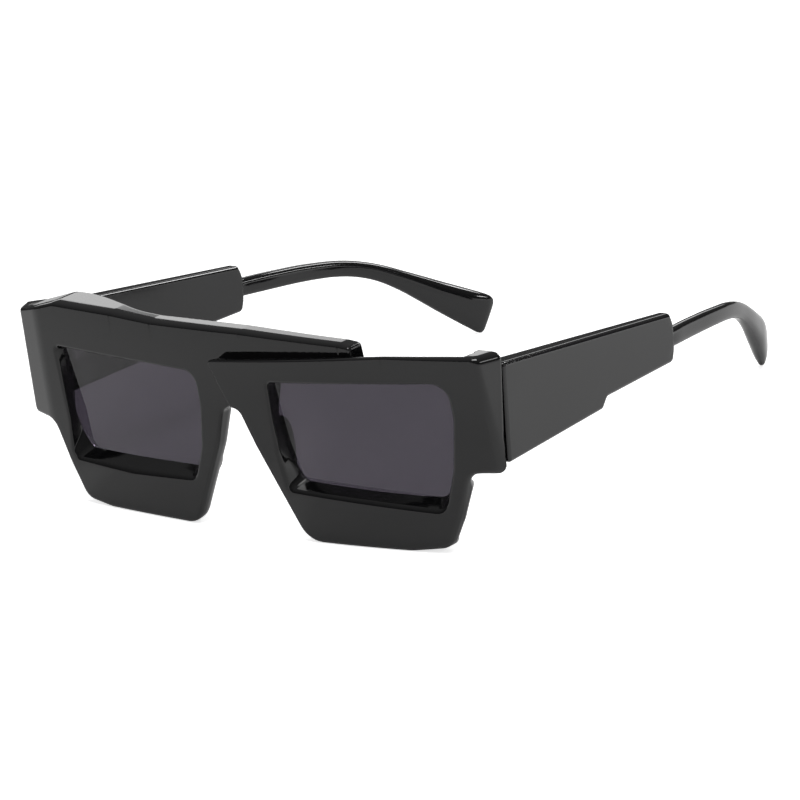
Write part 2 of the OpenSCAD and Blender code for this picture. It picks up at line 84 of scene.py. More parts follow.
BASE_SEAT = [
    (-1.098, 0.778, 0.030, 1.4), (-0.532, 0.768, 0, 0.6), (-0.210, 0.758, 0.07, 0.4),
    (-0.204, 0.60, 0.2, 0.4), (-0.237, 0.400, 0.2, 0.4), (-0.310, 0.272, 0.06, 0.3),
    (-0.70, 0.265, 0, 1.1), (-1.030, 0.264, 0.050, 1.1), (-1.078, 0.346, 0.050, 1.2),
    (-1.100, 0.44, 0.1, 2.0)]
RAISED_RIM = [
    (0.276, 0.780, 0.03, 0.7), (0.736, 0.808, 0, 0.6), (1.208, 0.830, 0.10, 0.7),
    (1.212, 0.66, 0.24, 0.8), (1.164, 0.408, 0.2, 0.9), (1.092, 0.200, 0.064, 1.0),
    (0.72, 0.228, 0, 1.3), (0.286, 0.250, 0.030, 1.1), (0.264, 0.44, 0.1, 0.8),
    (0.267, 0.60, 0, 0.7)]
RAISED_SEAT = [
    (0.278, 0.774, 0.03, 0.4), (0.736, 0.802, 0, 0.5), (1.184, 0.823, 0.09, 0.4),
    (1.186, 0.66, 0.24, 0.4), (1.140, 0.416, 0.2, 0.2), (1.072, 0.252, 0.07, 0.2),
    (0.72, 0.262, 0, 1.1), (0.322, 0.285, 0.05, 0.8), (0.280, 0.428, 0.1, 1.6),
    (0.268, 0.60, 0, 1.6)]
LEFT_PAD = [(-0.200, 0.575, 0.03), (-0.112, 0.560, 0.03), (-0.170, 0.345, 0.2),
            (-0.240, 0.230, 0.03), (-0.290, 0.28, 0.03), (-0.228, 0.40, 0.1)]
RIGHT_PAD = [(0.122, 0.572, 0.03), (0.190, 0.572, 0.06), (0.250, 0.500, 0.06), (0.262, 0.41, 0.1),
             (0.256, 0.33, 0.1), (0.286, 0.262, 0.03), (0.252, 0.218, 0.03), (0.188, 0.345, 0.2)]
# Side outline of a blade: backwards, upwards and corner radius (shares of the height),
# then how far its outer and inner edges are rounded, in millimetres.
BLADE = [
    (0.1302, 0.9020, 0.020, 0.9, 0.6), (1.484, 0.718, 0.022, 1.0, 0.9), (1.508, 0.66, 0.2, 1.0, 0.8),
    (1.500, 0.55, 0.2, 1.0, 0.8), (1.482, 0.482, 0.03, 1.2, 1.0), (0.915, 0.492, 0.03, 1.1, 1.0),
    (0.870, 0.447, 0.03, 1.1, 1.0), (0.0988, 0.444, 0.020, 0.9, 0.6)]
# Stations of an arm, in shares of its length: backwards, inwards, downwards, half height,
# half thickness and forward lean of the section.
ARM = [
    (-0.03, -0.001, -0.001, 0.0322, 0.018, 0), (0.056, 0.0042, 0.0042, 0.0322, 0.019, 0),
    (0.140, 0.0182, 0.0108, 0.0325, 0.019, 0), (0.224, 0.0322, 0.0185, 0.0318, 0.019, 0),
    (0.308, 0.0462, 0.0270, 0.0312, 0.019, 0), (0.392, 0.0630, 0.0380, 0.0300, 0.019, 0),
    (0.476, 0.0840, 0.0520, 0.0292, 0.019, 0), (0.560, 0.1110, 0.0745, 0.0288, 0.020, 0),
    (0.644, 0.1430, 0.1100, 0.0305, 0.022, 0), (0.728, 0.1770, 0.1605, 0.0362, 0.026, 0),
    (0.800, 0.2100, 0.2100, 0.0455, 0.030, 0), (0.860, 0.2390, 0.2530, 0.0540, 0.033, 0),
    (0.910, 0.2675, 0.2888, 0.0612, 0.032, 0.01), (0.950, 0.2915, 0.3178, 0.0668, 0.029, 0.04),
    (0.978, 0.3085, 0.3380, 0.0700, 0.024, 0.08), (0.9965, 0.3195, 0.3533, 0.0700, 0.018, 0.11),
    (1.008, 0.3255, 0.3626, 0.0640, 0.011, 0.13), (1.0135, 0.3280, 0.3670, 0.0500, 0.004, 0.13)]
ARM_LENGTH = 71.4
ARM_START = (66.0, 71.95, 30.0)


# The two bulged levels
def soft_lower(a, b, reach):
    """The lower of two heights, with a soft change from one to the other."""
    apart = a - b
    if apart > reach:
        return b
    if apart < -reach:
        return a
    return a - (apart + reach) ** 2 / (4 * reach)


def eased(t):
    t = min(max(t, 0), 1)
    return t * t * (3 - 2 * t)


class Level:
    """One half of the front: its front face, its lens face and its rear face."""

    def __init__(self, side, radius, middle, depth, lean, thick):
        self.side, self.radius, self.middle, self.depth = side, radius, middle, depth
        self.lean, self.thick = lean, thick

    def bulge(self, x):
        return self.radius - math.sqrt(self.radius ** 2 - (x - self.middle) ** 2)

    def front(self, x, z):
        y = self.depth + self.bulge(x) - (z - DEPTH_Z) * math.tan(math.radians(self.lean))
        if self.side < 0 and x < -FACET_FROM:
            edge = (self.depth + self.bulge(-FACET_X)
                    - (z - DEPTH_Z) * math.tan(math.radians(self.lean)))
            y = -soft_lower(-y, -edge + (FACET_X + x) * math.tan(math.radians(FACET_TURN)), FACET_SOFT)
        return y

    def lens(self, x, z):
        return (self.depth + self.bulge(x)
                - (LENS_Z - DEPTH_Z) * math.tan(math.radians(self.lean)) + LENS_DROP
                - (z - LENS_Z) * math.tan(math.radians(self.lean + LENS_LEAN)))

    def rear(self, x, z):
        plain = (self.depth + self.thick + self.bulge(x)
                 - (z - DEPTH_Z) * math.tan(math.radians(self.lean + REAR_LEAN)))
        seam = SEAM_Y + (z - HINGE_Z) * math.tan(math.radians(SEAM_LEAN))
        swell = seam - SWELL * (1 - eased((self.side * x - SWELL_FROM) / SWELL_RUN))
        higher = -soft_lower(-plain, -swell, SWELL_SOFT)
        plain += (higher - plain) * eased((z - 18) / 3)
        if plain > seam:
            plain += (seam - plain) * eased((self.side * x - 56) / 2.5) * eased((z - 16) / 3)
        return plain

    def side_x(self, y):
        return self.side * (SIDE_X - (SEAM_Y - y) * math.tan(math.radians(SIDE_TURN)))

    def front_side_x(self, z):
        """Where the side face starts on the front face."""
        x = self.side * 68.4
        for _ in range(20):
            x = self.side_x(self.front(x, z))
        return x


base = Level(-1, 500, -2, -5.55, 2.5, 4.8)
raised = Level(1, 255, 0, -9.05, 6.3, 5.2)


# Outlines as points
def rounded_corner(before, corner, after, radius, steps):
    a = (before - corner).normalized()
    b = (after - corner).normalized()
    half = math.acos(max(-1, min(1, a.dot(b)))) / 2
    if radius == 0:
        return [corner.copy() for _ in range(steps + 1)]
    reach = min(radius / math.tan(half), 0.49 * (before - corner).length, 0.49 * (after - corner).length)
    radius = reach * math.tan(half)
    hub = corner + (a + b).normalized() * radius / math.sin(half)
    start, end = corner + a * reach - hub, corner + b * reach - hub
    begin = math.atan2(start.y, start.x)
    turn = math.atan2(start.x * end.y - start.y * end.x, start.dot(end))
    angles = [begin + turn * i / steps for i in range(steps + 1)]
    return [hub + radius * Vector((math.cos(a), math.sin(a))) for a in angles]


def outline(corners, level=None, runs=None, pitch=2.2):
    """Points round an outline, with the edge rounding at each, and the number of steps of each run."""
    at = []
    for corner in corners:
        x, z = corner[0], corner[1] * H
        if isinstance(x, str):
            x = level.front_side_x(z)
        else:
            x *= H
        at.append(Vector((x, z)))
    n = len(at)
    arcs = [rounded_corner(at[i - 1], at[i], at[(i + 1) % n], corners[i][2] * H,
                           CORNER_STEPS if corners[i][2] else 0) for i in range(n)]
    edges = [corner[3:] for corner in corners]
    points, rounds, made = [], [], []
    for i in range(n):
        for p in arcs[i]:
            points.append(p)
            rounds.append(edges[i])
        start, end = arcs[i][-1], arcs[(i + 1) % n][0]
        count = runs[i] if runs else max(1, round((end - start).length / pitch))
        made.append(count)
        for k in range(1, count):
            t = k / count
            points.append(start.lerp(end, t))
            rounds.append(tuple(a * (1 - t) + b * t for a, b in zip(edges[i], edges[(i + 1) % n])))
    return points, rounds, made


def grown(points, distances):
    """The outline moved along its outward normals, away from what it encloses."""
    n = len(points)
    area = sum(points[i - 1].x * points[i].y - points[i].x * points[i - 1].y for i in range(n))
    sign = 1 if area > 0 else -1
    moved = []
    for i, point in enumerate(points):
        d = distances[i] if isinstance(distances, list) else distances
        before, after = point - points[i - 1], points[(i + 1) % n] - point
        if before.length < 1e-6:
            before = point - points[i - 2]
        along = (before.normalized() + after.normalized()).normalized()
        moved.append(point + sign * d * Vector((along.y, -along.x)))
    return moved


# Rings of vertices
# The halves are drawn flat and then laid on their levels. While a wall is drawn, a depth
# below 9 counts backwards from the front face, one above 31 counts forwards from the rear
# face at REAR, and one from 10 to 30 is a share of the way between them. In the end
# shared_depths makes every depth a share of REAR.
REAR = 40.0


def start_loop(name, points):
    bpy.ops.object.select_all(action="DESELECT")
    bpy.ops.mesh.primitive_circle_add(vertices=len(points), radius=30, fill_type="NOTHING")
    piece = bpy.context.object
    piece.name = piece.data.name = name
    for vertex, point in zip(piece.data.vertices, points):
        vertex.co = point
    bpy.ops.object.mode_set(mode="EDIT")
    bpy.ops.mesh.select_all(action="SELECT")
    return piece, {i: i for i in range(len(points))}


def extrude_loop(piece, place, points):
    """Extrudes the selected loop and lays it on the next set of points."""
    bpy.ops.mesh.extrude_edges_move()
    mesh = bmesh.from_edit_mesh(piece.data)
    mesh.verts.index_update()
    new_place = {}
    for vertex in mesh.verts:
        if vertex.select:
            for edge in vertex.link_edges:
                other = edge.other_vert(vertex)
                if not other.select:
                    new_place[vertex.index] = place[other.index]
                    vertex.co = points[new_place[vertex.index]]
    bmesh.update_edit_mesh(piece.data)
    return new_place


def lofted(name, loops):
    piece, place = start_loop(name, loops[0])
    for loop in loops[1:]:
        place = extrude_loop(piece, place, loop)
    bpy.ops.object.mode_set(mode="OBJECT")
    return piece


def flat(points, depths):
    """The points at one depth or at a depth each."""
    if not isinstance(depths, list):
        depths = [depths] * len(points)
    return [Vector((p.x, depth, p.y)) for p, depth in zip(points, depths)]


def quarter_round(step):
    """Shares of the inset and of the depth at a step of a rounded edge."""
    turn = math.pi / 2 * step / ROUND_STEPS
    return 1 - math.sin(turn), 1 - math.cos(turn)


def shared_depths(loops, level):
    """Turns each depth into its share, out of REAR, of the way from the front face to the rear face."""
    for loop in loops:
        for point in loop:
            thick = level.rear(point.x, point.z) - level.front(point.x, point.z)
            if point.y < 9:
                point.y = REAR * point.y / thick
            elif point.y > 31:
                point.y = REAR * (1 - (REAR - point.y) / thick)
            else:
                point.y = REAR * (point.y - 10) / 20
    return loops


def outer_wall(name, corners, level):
    points, rounds, _ = outline(corners, level)
    away = [a - p for a, p in zip(grown(points, 1.0), points)]
    upwards = [max(0, a.y) ** 4 for a in away]
    outwards = [eased((a.x - 0.4) / 0.4) if level is raised else 0 for a in away]
    thick = [level.rear(p.x, p.y) - level.front(p.x, p.y) for p in points]
    front_depth = [r[0] * (1 + 1.4 * up) for r, up in zip(rounds, upwards)]
    rear_depth = [max(0.3, min(r[1] * (1 + 0.6 * out), t - d - 0.5))
                  for r, out, t, d in zip(rounds, outwards, thick, front_depth)]
    loops = []
    for k in range(ROUND_STEPS + 1):
        inset, depth = quarter_round(k)
        loops.append(flat(grown(points, [-r[0] * inset for r in rounds]),
                          [d * depth for d in front_depth]))
    for share in (0.1, 0.3, 0.5, 0.7, 0.9):
        depths = []
        for t, first, last in zip(thick, front_depth, rear_depth):
            room = max(t - first - last - 0.2, 0)
            depths.append(10 + 20 * (first + 0.1 + room * share) / (first + last + 0.2 + room))
        loops.append(flat(points, depths))
    for k in range(ROUND_STEPS, -1, -1):
        inset, depth = quarter_round(k)
        straight = 1 - k / ROUND_STEPS
        loops.append(flat(grown(points, [-r[1] * (inset + (straight ** 1.25 - inset) * out)
                                         for r, out in zip(rounds, outwards)]),
                          [REAR - d * (depth + ((1 - straight) ** 1.25 - depth) * out)
                           for d, out in zip(rear_depth, outwards)]))
    return lofted(name, shared_depths(loops, level))


def between(first, second, share):
    """The table part of the way from the rim's corners to the seat's."""
    return [tuple(a + (b - a) * share for a, b in zip(start[:3], end[:3]))
            for start, end in zip(first, second)]


def opening_wall(name, rim, seat, level):
    rim_points, rounds, runs = outline(rim)
    seat_points, flares, _ = outline(seat, runs=runs)

    def at(share):
        points, _, _ = outline(between(rim, seat, share), runs=runs)
        return flat(points, [share * (level.lens(p.x, p.y) - level.front(p.x, p.y)) for p in points])

    away = grown(rim_points, 1.0)
    quarter = at(0.25)
    loops = []
    for k in range(ROUND_STEPS + 1):
        t = k / ROUND_STEPS
        loop = []
        for i, p in enumerate(rim_points):
            r = rounds[i][0]
            corner = Vector((p.x, 0, p.y))
            start = corner + r * Vector((away[i].x - p.x, 0, away[i].y - p.y))
            down = quarter[i] - corner
            end = corner + down * min(2.4, r / down.length)
            loop.append((1 - t) ** 2 * start + 2 * t * (1 - t) * corner + t * t * end)
        loops.append(loop)
    for share in (0.68, 0.8, 0.9, 1.0):
        loops.append(at(share))
    lens_depth = [level.lens(p.x, p.y) - level.front(p.x, p.y) for p in seat_points]
    loops.append(flat(grown(seat_points, 0.2), [d + 0.4 for d in lens_depth]))
    loops.append(flat(grown(seat_points, [min(0.7, f[0]) for f in flares]),
                      [d + 1.4 for d in lens_depth]))
    for k in range(ROUND_STEPS, -1, -1):
        inset, depth = quarter_round(k)
        loops.append(flat(grown(seat_points, [f[0] + 0.6 * inset for f in flares]),
                          REAR - 0.6 * depth))
    return lofted(name, shared_depths(loops, level))


def select_open_edges(piece, test):
    bpy.ops.mesh.select_mode(type="EDGE")
    bpy.ops.mesh.select_all(action="DESELECT")
    mesh = bmesh.from_edit_mesh(piece.data)
    for edge in mesh.edges:
        if edge.is_boundary and test(edge):
            edge.select = True
    mesh.select_flush(True)
    bmesh.update_edit_mesh(piece.data)


def only(*pieces):
    bpy.ops.object.select_all(action="DESELECT")
    for piece in pieces:
        piece.select_set(True)
    bpy.context.view_layer.objects.active = pieces[0]


def half_front(name, corners, rim, seat, level):
    wall = outer_wall(name, corners, level)
    opening = opening_wall(name + "_opening", rim, seat, level)
    only(wall, opening)
    bpy.ops.object.join()
    piece = bpy.context.object
    bpy.ops.object.mode_set(mode="EDIT")
    select_open_edges(piece, lambda edge: edge.verts[0].co.y < REAR / 2)
    bpy.ops.mesh.fill(use_beauty=True)
    select_open_edges(piece, lambda edge: edge.verts[0].co.y > REAR / 2)
    bpy.ops.mesh.fill(use_beauty=True)
    places = [2.0 * i for i in range(-35, 36)]
    places += [-64 + 0.5 * i for i in range(13)] if level is base else [36.3, 36.6, 64.3, 64.6, 64.9]
    for x in sorted(set(places)):
        bpy.ops.mesh.select_all(action="SELECT")
        bpy.ops.mesh.bisect(plane_co=(x, 0, 0), plane_no=(1, 0, 0))
    for z in (15.5, 16.5, 17.5, 18.25, 19, 19.75, 20.5, 21.5, 22.5, 30, 37, 42):
        bpy.ops.mesh.select_mode(type="FACE")
        bpy.ops.mesh.select_all(action="DESELECT")
        mesh = bmesh.from_edit_mesh(piece.data)
        for face in mesh.faces:
            if all(v.co.y > REAR / 2 for v in face.verts):
                face.select = True
        bmesh.update_edit_mesh(piece.data)
        bpy.ops.mesh.bisect(plane_co=(0, 0, z), plane_no=(0, 0, 1))
    bpy.ops.object.mode_set(mode="OBJECT")
    lay_on(piece, level)
    only(piece)
    bpy.ops.object.mode_set(mode="EDIT")
    bpy.ops.mesh.select_all(action="SELECT")
    bpy.ops.mesh.remove_doubles(threshold=1e-7)
    bpy.ops.mesh.normals_make_consistent(inside=False)
    bpy.ops.object.mode_set(mode="OBJECT")
    return piece


CREST = (36.4, 1.7, 46.5)      # where the raised half's crest starts


def crest_height(x, y):
    """Height of the sloping top behind the raised half's crest."""
    cx = CREST[0]
    cy = raised.front(cx, 46.5) + CREST[1]
    turn, rise, fall = math.radians(11.3), math.radians(2.4), math.radians(24)
    u = Vector((math.cos(turn) * math.cos(rise), math.sin(turn) * math.cos(rise), math.sin(rise)))
    back = Vector((-math.sin(turn), math.cos(turn), 0))
    v = (back * math.cos(fall) + u.cross(back) * -math.sin(fall)).normalized()
    normal = u.cross(v).normalized()
    return 46.5 - (normal.x * (x - cx) + normal.y * (y - cy)) / normal.z


def lay_on(piece, level):
    for vertex in piece.data.vertices:
        x, s, z = vertex.co
        start, end = level.front(x, z), level.rear(x, z)
        y = start + (end - start) * s / REAR
        outwards = min(max((abs(x) - 63.5) / 4.5, 0), 1)
        if level.side * x > 0 and z > 17:
            x += level.side * outwards * (y - start) * math.tan(math.radians(SIDE_TURN))
        if level is raised and z > 40:
            z -= 0.14 * max(0, y - start - 0.5) * eased((z - 41) / 1.5) * (1 - eased((x - 28) / 8))
            if 28 < x < 64.7:
                z += (soft_lower(z, crest_height(x, y), 0.25) - z) * eased((x - 28) / 5)
        vertex.co = Vector((x, y - ORIGIN_Y, z)) * MM


def cut_box(piece, low, high):
    """Cuts a pocket between two corners given in millimetres, as the part's source counts them."""
    low, high = Vector(low), Vector(high)
    middle = (low + high) / 2 - Vector((0, ORIGIN_Y, 0))
    bpy.ops.object.select_all(action="DESELECT")
    bpy.ops.mesh.primitive_cube_add(size=1, location=(0, 0, 0))
    cutter = bpy.context.object
    bpy.ops.object.mode_set(mode="EDIT")
    bpy.ops.transform.resize(value=tuple((high - low) * MM))
    bpy.ops.transform.translate(value=tuple(middle * MM))
    bpy.ops.object.mode_set(mode="OBJECT")
    only(piece)
    bpy.ops.object.modifier_add(type="BOOLEAN")
    cut = piece.modifiers[-1]
    cut.operation, cut.solver, cut.object = "DIFFERENCE", "EXACT", cutter
    bpy.ops.object.modifier_apply(modifier=cut.name)
    bpy.data.objects.remove(cutter)


def smoothed(piece, angle=38):
    only(piece)
    bpy.ops.object.shade_smooth_by_angle(angle=math.radians(angle))
    bpy.ops.object.modifier_add(type="WEIGHTED_NORMAL")
    even = piece.modifiers[-1]
    even.keep_sharp = True
    bpy.ops.object.modifier_apply(modifier=even.name)


def mirrored(piece, name):
    """A copy of the piece on the other side, with its own mesh."""
    only(piece)
    bpy.ops.object.duplicate()
    twin = bpy.context.object
    twin.name = twin.data.name = name
    bpy.ops.object.mode_set(mode="EDIT")
    bpy.ops.mesh.select_all(action="SELECT")
    bpy.ops.transform.resize(value=(-1, 1, 1), center_override=(0, 0, 0))
    bpy.ops.mesh.normals_make_consistent(inside=False)
    bpy.ops.object.mode_set(mode="OBJECT")
    return twin


# Nose pads, temples and their arms
def closed_loft(name, loops):
    """A loft with both its ends filled."""
    piece = lofted(name, loops)
    only(piece)
    bpy.ops.object.mode_set(mode="EDIT")
    middle = sum((v.y for loop in (loops[0], loops[-1]) for v in loop)) / (2 * len(loops[0]))
    select_open_edges(piece, lambda edge: edge.verts[0].co.y < middle)
    bpy.ops.mesh.fill(use_beauty=True)
    select_open_edges(piece, lambda edge: edge.verts[0].co.y > middle)
    bpy.ops.mesh.fill(use_beauty=True)
    bpy.ops.mesh.select_all(action="SELECT")
    bpy.ops.mesh.remove_doubles(threshold=1e-4)
    bpy.ops.mesh.normals_make_consistent(inside=False)
    bpy.ops.object.mode_set(mode="OBJECT")
    return piece


def settle(piece):
    """From the part's millimetres to the frame's metres."""
    only(piece)
    bpy.ops.object.mode_set(mode="EDIT")
    bpy.ops.mesh.select_all(action="SELECT")
    bpy.ops.transform.translate(value=(0, -ORIGIN_Y, 0))
    bpy.ops.transform.resize(value=(MM, MM, MM), center_override=(0, 0, 0))
    bpy.ops.object.mode_set(mode="OBJECT")


def nose_pad(name, corners, side, split):
    points, _, _ = outline(corners, pitch=0.8)
    loops = []
    for y, inset in ((-2.6, 0.0), (-1.4, 0.0), (-0.2, 0.0), (0.5, 0.02), (0.9, 0.12), (1.2, 0.28),
                     (1.45, 0.55), (1.6, 0.95)):
        share = (y + 2.6) / 4.2
        ring = grown(points, -inset)
        loops.append([Vector((p.x + side * 1.4 * share * eased(0.5 - side * (p.x - split) / 3), y, p.y))
                      for p in ring])
    piece = closed_loft(name, loops)
    settle(piece)
    return piece


def blade(name):
    points, rounds, _ = outline(BLADE, pitch=2.5)
    loops = []
    for k in range(ROUND_STEPS + 1):
        inset, depth = quarter_round(k)
        loops.append(flat(grown(points, [-r[0] * inset for r in rounds]),
                          [r[0] * depth for r in rounds]))
    for k in range(ROUND_STEPS, -1, -1):
        inset, depth = quarter_round(k)
        loops.append(flat(grown(points, [-r[1] * inset for r in rounds]),
                          [REAR - r[1] * depth for r in rounds]))
    piece = closed_loft(name, loops)
    for vertex in piece.data.vertices:
        run, s, z = vertex.co
        outer = SIDE_X - (run - SEAM_Y) * math.tan(math.radians(BLADE_TURN))
        inner = BLADE_INNER - run * (BLADE_INNER - BLADE_INNER_END) / BLADE_INNER_RUN
        x = outer - s if s < REAR / 2 else inner + (REAR - s)
        vertex.co = Vector((x, run, z))
    only(piece)
    bpy.ops.object.mode_set(mode="EDIT")
    bpy.ops.mesh.select_all(action="SELECT")
    bpy.ops.mesh.normals_make_consistent(inside=False)
    bpy.ops.object.mode_set(mode="OBJECT")
    settle(piece)
    return piece


def through(rows, t):
    """A smooth line through the stations, read at t."""
    i = min(int(t), len(rows) - 2)
    f = t - i
    a, b = rows[max(i - 1, 0)], rows[i]
    c, d = rows[i + 1], rows[min(i + 2, len(rows) - 1)]
    return [0.5 * (2 * q + (r - p) * f + (2 * p - 5 * q + 4 * r - w) * f * f
                   + (3 * q - p - 3 * r + w) * f ** 3) for p, q, r, w in zip(a, b, c, d)]


def arm(name):
    fine = [through(ARM, i / 4) for i in range(4 * (len(ARM) - 1) + 1)]
    at = [Vector((ARM_START[0] - s[1] * ARM_LENGTH, ARM_START[1] + s[0] * ARM_LENGTH,
                  ARM_START[2] - s[2] * ARM_LENGTH)) for s in fine]
    loops = []
    for k, s in enumerate(fine):
        along = (at[min(k + 1, len(at) - 1)] - at[max(k - 1, 0)]).normalized()
        across = along.cross(Vector((0, 0, 1))).normalized()
        over = (across.cross(along) - s[5] * along).normalized()
        loop = []
        for i in range(28):
            c, d = math.cos(2 * math.pi * i / 28), math.sin(2 * math.pi * i / 28)
            loop.append(at[k] + across * math.copysign(abs(c) ** 0.7, c) * max(s[4], 0.002) * ARM_LENGTH
                        + over * math.copysign(abs(d) ** 0.7, d) * s[3] * ARM_LENGTH)
        loops.append(loop)
    piece = closed_loft(name, loops)
    settle(piece)
    return piece


def stepped_temple():
    piece = blade("right_temple_piece")
    cut_box(piece, (30, -30, HINGE_Z - POCKET_HALF), (66.75, 19.08, HINGE_Z + POCKET_HALF))
    side_arm = arm("right_arm")
    only(piece, side_arm)
    bpy.ops.object.join()
    return bpy.context.object


# Finishes
def node_material(name):
    material = bpy.data.materials.new(name)
    material.use_nodes = True
    nodes = material.node_tree.nodes
    links = material.node_tree.links
    shader = nodes["Principled BSDF"]
    return material, nodes, links, shader


def noise(nodes, links, scale, detail):
    """A noise in the object's own coordinates."""
    where = nodes.new("ShaderNodeTexCoord")
    cloud = nodes.new("ShaderNodeTexNoise")
    cloud.inputs["Scale"].default_value = scale
    cloud.inputs["Detail"].default_value = detail
    links.new(where.outputs["Object"], cloud.inputs["Vector"])
    return cloud.outputs["Fac"]


def tinted(nodes, links, shader, cloud, dark, light):
    """Colours the shader between two colours, each with the noise value where it is reached."""
    tint = nodes.new("ShaderNodeValToRGB")
    for element, (position, colour) in zip(tint.color_ramp.elements, (dark, light)):
        element.position = position
        element.color = (*colour, 1)
    links.new(cloud, tint.inputs["Fac"])
    links.new(tint.outputs["Color"], shader.inputs["Base Color"])


def hazed(nodes, links, shader, cloud, low, high):
    """Varies the roughness between two values."""
    haze = nodes.new("ShaderNodeMapRange")
    haze.inputs["To Min"].default_value = low
    haze.inputs["To Max"].default_value = high
    links.new(cloud, haze.inputs["Value"])
    links.new(haze.outputs["Result"], shader.inputs["Roughness"])


def rippled(nodes, links, shader, cloud, strength):
    """A faint unevenness of the polished surface."""
    bump = nodes.new("ShaderNodeBump")
    bump.inputs["Strength"].default_value = strength
    bump.inputs["Distance"].default_value = 0.00002
    links.new(cloud, bump.inputs["Height"])
    links.new(bump.outputs["Normal"], shader.inputs["Normal"])


def polished_plastic():
    material, nodes, links, shader = node_material("polished black plastic")
    cloud = noise(nodes, links, 60, 6)
    tinted(nodes, links, shader, cloud, (0.3, (0.0025, 0.0025, 0.0028)), (0.75, (0.0045, 0.0045, 0.0050)))
    hazed(nodes, links, shader, cloud, 0.045, 0.11)
    rippled(nodes, links, shader, noise(nodes, links, 140, 2), 0.12)
    shader.inputs["IOR"].default_value = 1.52
    return material


def dark_lens():
    material, nodes, links, shader = node_material("dark grey lens")
    cloud = noise(nodes, links, 35, 3)
    tinted(nodes, links, shader, cloud, (0.3, (0.029, 0.025, 0.034)), (0.7, (0.034, 0.029, 0.039)))
    hazed(nodes, links, shader, cloud, 0.0, 0.03)
    shader.inputs["Transmission Weight"].default_value = 1.0
    shader.inputs["IOR"].default_value = 1.49
    return material


def hinge_metal(name, colour, low, high):
    material, nodes, links, shader = node_material(name)
    grain = noise(nodes, links, 900, 4)
    hazed(nodes, links, shader, grain, low, high)
    rippled(nodes, links, shader, grain, 0.15)
    shader.inputs["Base Color"].default_value = (*colour, 1)
    shader.inputs["Metallic"].default_value = 1.0
    return material


black = polished_plastic()
smoke = dark_lens()
leaf_metal = hinge_metal("nickel hinge metal", (0.62, 0.61, 0.58), 0.18, 0.34)
screw_metal = hinge_metal("bright screw metal", (0.70, 0.69, 0.67), 0.12, 0.26)


def finish_with(piece, material):
    piece.data.materials.clear()
    piece.data.materials.append(material)


# The pieces and what they ride on
base_front = half_front("base_half", BASE_HALF, BASE_RIM, BASE_SEAT, base)
raised_front = half_front("raised_half", RAISED_HALF, RAISED_RIM, RAISED_SEAT, raised)
cut_box(raised_front, (61.37, 4.2, HINGE_Z - POCKET_HALF), (65.63, 40, HINGE_Z + POCKET_HALF))
cut_box(base_front, (-65.63, 4.2, HINGE_Z - POCKET_HALF), (-61.37, 40, HINGE_Z + POCKET_HALF))
left_pad = nose_pad("left_nose_pad", LEFT_PAD, -1, -9.5)
right_pad = nose_pad("right_nose_pad", RIGHT_PAD, 1, 11.5)
right_temple = stepped_temple()
left_temple = mirrored(right_temple, "left_temple_piece")

for piece, body, node in ((base_front, "front", "front_frame"), (raised_front, "front", "front_frame"),
                          (left_pad, "front", "front_frame"), (right_pad, "front", "front_frame"),
                          (right_temple, "right_temple", "temple_right"),
                          (left_temple, "left_temple", "temple_left")):
    smoothed(piece)
    finish_with(piece, black)
    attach(piece, body)
    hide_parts(node)

for node, material in (("lens_left", smoke), ("lens_right", smoke),
                       ("hinge_front_left", leaf_metal), ("hinge_front_right", leaf_metal),
                       ("hinge_temple_left", leaf_metal), ("hinge_temple_right", leaf_metal),
                       ("hinge_screw_left", screw_metal), ("hinge_screw_right", screw_metal)):
    finish_with(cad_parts[node], material)


# Stage, light and camera
def seen_rays(nodes, links, camera, glossy):
    """A strength that camera and transmission rays meet, and the one that glossy rays meet."""
    path = nodes.new("ShaderNodeLightPath")
    clear = nodes.new("ShaderNodeMath")
    clear.operation = "MAXIMUM"
    links.new(path.outputs["Is Camera Ray"], clear.inputs[0])
    links.new(path.outputs["Is Transmission Ray"], clear.inputs[1])
    direct = nodes.new("ShaderNodeMath")
    direct.operation = "MULTIPLY"
    direct.inputs[1].default_value = camera
    links.new(clear.outputs[0], direct.inputs[0])
    mirror = nodes.new("ShaderNodeMath")
    mirror.operation = "MULTIPLY_ADD"
    mirror.inputs[1].default_value = glossy
    links.new(path.outputs["Is Glossy Ray"], mirror.inputs[0])
    links.new(direct.outputs[0], mirror.inputs[2])
    return mirror.outputs[0]


def white_stage():
    bpy.ops.object.select_all(action="DESELECT")
    bpy.ops.mesh.primitive_plane_add(size=8, location=(0, 0, 0))
    floor = bpy.context.object
    floor.name = "white_floor"
    material, nodes, links, shader = node_material("white paper")
    shader.inputs["Base Color"].default_value = (0.86, 0.86, 0.86, 1)
    shader.inputs["Roughness"].default_value = 0.9
    shader.inputs["Specular IOR Level"].default_value = 0.0
    glow = nodes.new("ShaderNodeEmission")
    links.new(seen_rays(nodes, links, 0.70, 0.0), glow.inputs["Strength"])
    both = nodes.new("ShaderNodeAddShader")
    links.new(shader.outputs[0], both.inputs[0])
    links.new(glow.outputs[0], both.inputs[1])
    links.new(both.outputs[0], nodes["Material Output"].inputs["Surface"])
    finish_with(floor, material)
    return floor


